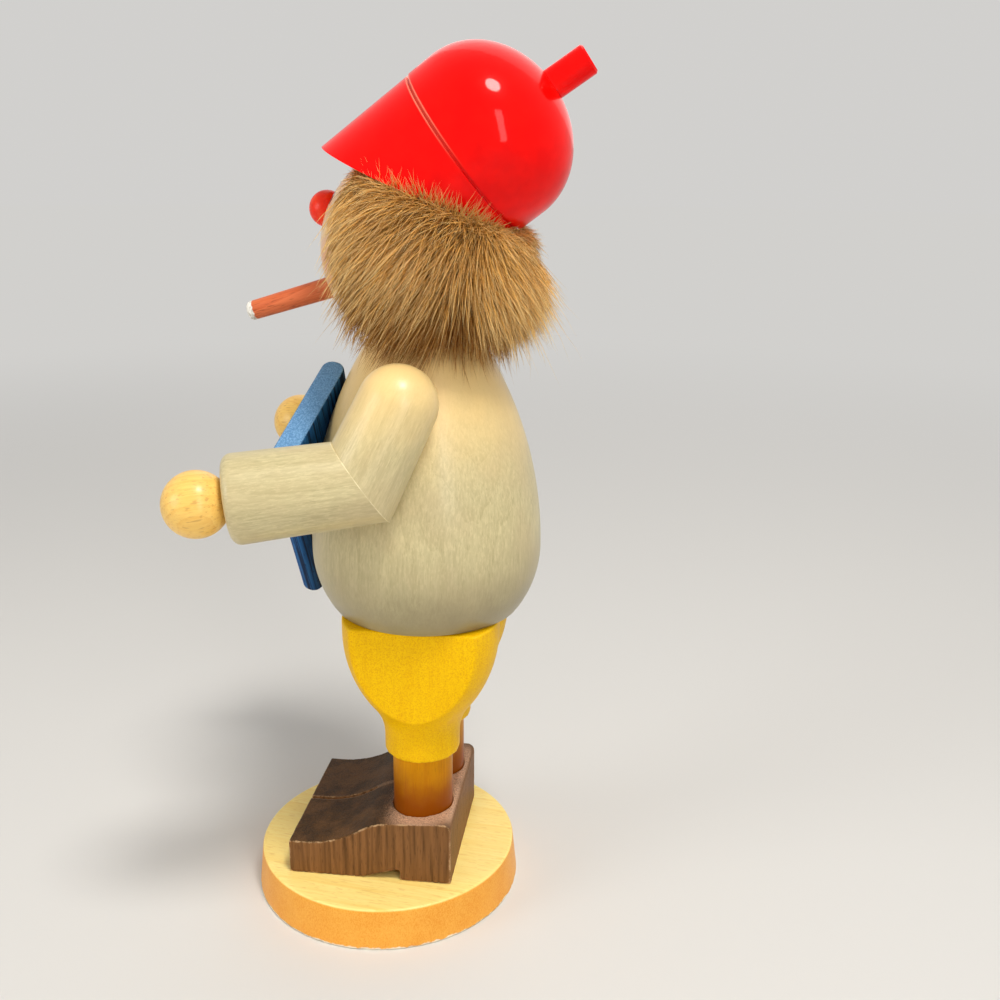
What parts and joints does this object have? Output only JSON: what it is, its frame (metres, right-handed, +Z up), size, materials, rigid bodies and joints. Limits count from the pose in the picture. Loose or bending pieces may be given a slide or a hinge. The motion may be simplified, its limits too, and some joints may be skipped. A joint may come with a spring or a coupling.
{
  "type": "incense smoker figure",
  "caption": "Turned wooden smoking figure with peaked cap and fur hair; the upper body lifts off a plugged waist to set an incense cone on the plate, and smoke leaves by the mouth.",
  "frame": {"origin": "middle of the base disc's underside, where the figure stands", "axes": "+Z up, -Y the way the figure faces, +X its left arm"},
  "size_m": [0.1002, 0.0956, 0.2262],
  "materials": {
    "pale_beech": "clear satin lacquer on pale turned wood, worn at the lower edge",
    "brown_stain": "dark brown stain with saw marks, rubbed pale at the edges",
    "bare_beech": "bare wood, hidden dowels and plug",
    "amber_stain": "amber stain under satin lacquer, darker towards the shoes",
    "yellow_stain": "yellow stain under satin lacquer",
    "tin_plate": "thin pressed tin, smoked in the middle",
    "steel_tack": "plain steel tack",
    "grey_stain": "thin grey-beige stain under satin lacquer, grain showing",
    "face_wood": "pale lacquered wood with two painted eyes",
    "red_nose": "satin red paint",
    "cigar_brown": "red-brown stain with a white painted tip",
    "red_lacquer": "gloss red lacquer",
    "fur": "golden brown fur, long straight hairs",
    "hand_beech": "clear satin lacquer on flecked pale wood",
    "blue_stain": "matt blue stain, end grain showing"
  },
  "bodies": {
    "stand": {"base_disc": "pale_beech", "shoe_block": "brown_stain", "shoe_dowels": "bare_beech", "leg_left": "amber_stain", "leg_right": "amber_stain", "trouser_left": "yellow_stain", "trouser_right": "yellow_stain", "waist_plug": "bare_beech", "waist_dowels": "bare_beech", "incense_plate": "tin_plate", "plate_tack": "steel_tack"},
    "figure": {"torso": "grey_stain", "neck_tube": "bare_beech", "head": "face_wood", "nose": "red_nose", "cigar": "cigar_brown", "cap": "red_lacquer", "cap_dowel": "bare_beech", "cap_stem": "red_lacquer", "fur_hair": "fur", "upper_arm_left": "grey_stain", "upper_arm_right": "grey_stain", "forearm_left": "grey_stain", "forearm_right": "grey_stain", "hand_left": "hand_beech", "hand_right": "hand_beech", "elbow_dowel_left": "bare_beech", "elbow_dowel_right": "bare_beech", "shoulder_dowel_left": "bare_beech", "shoulder_dowel_right": "bare_beech", "blue_board": "blue_stain", "board_peg": "bare_beech"}
  },
  "joints": [
    {"name": "torso_lift", "type": "slide", "parent": "stand", "child": "figure", "axis": [0, 0, 1], "range_m": [0, 0.06]}
  ]
}
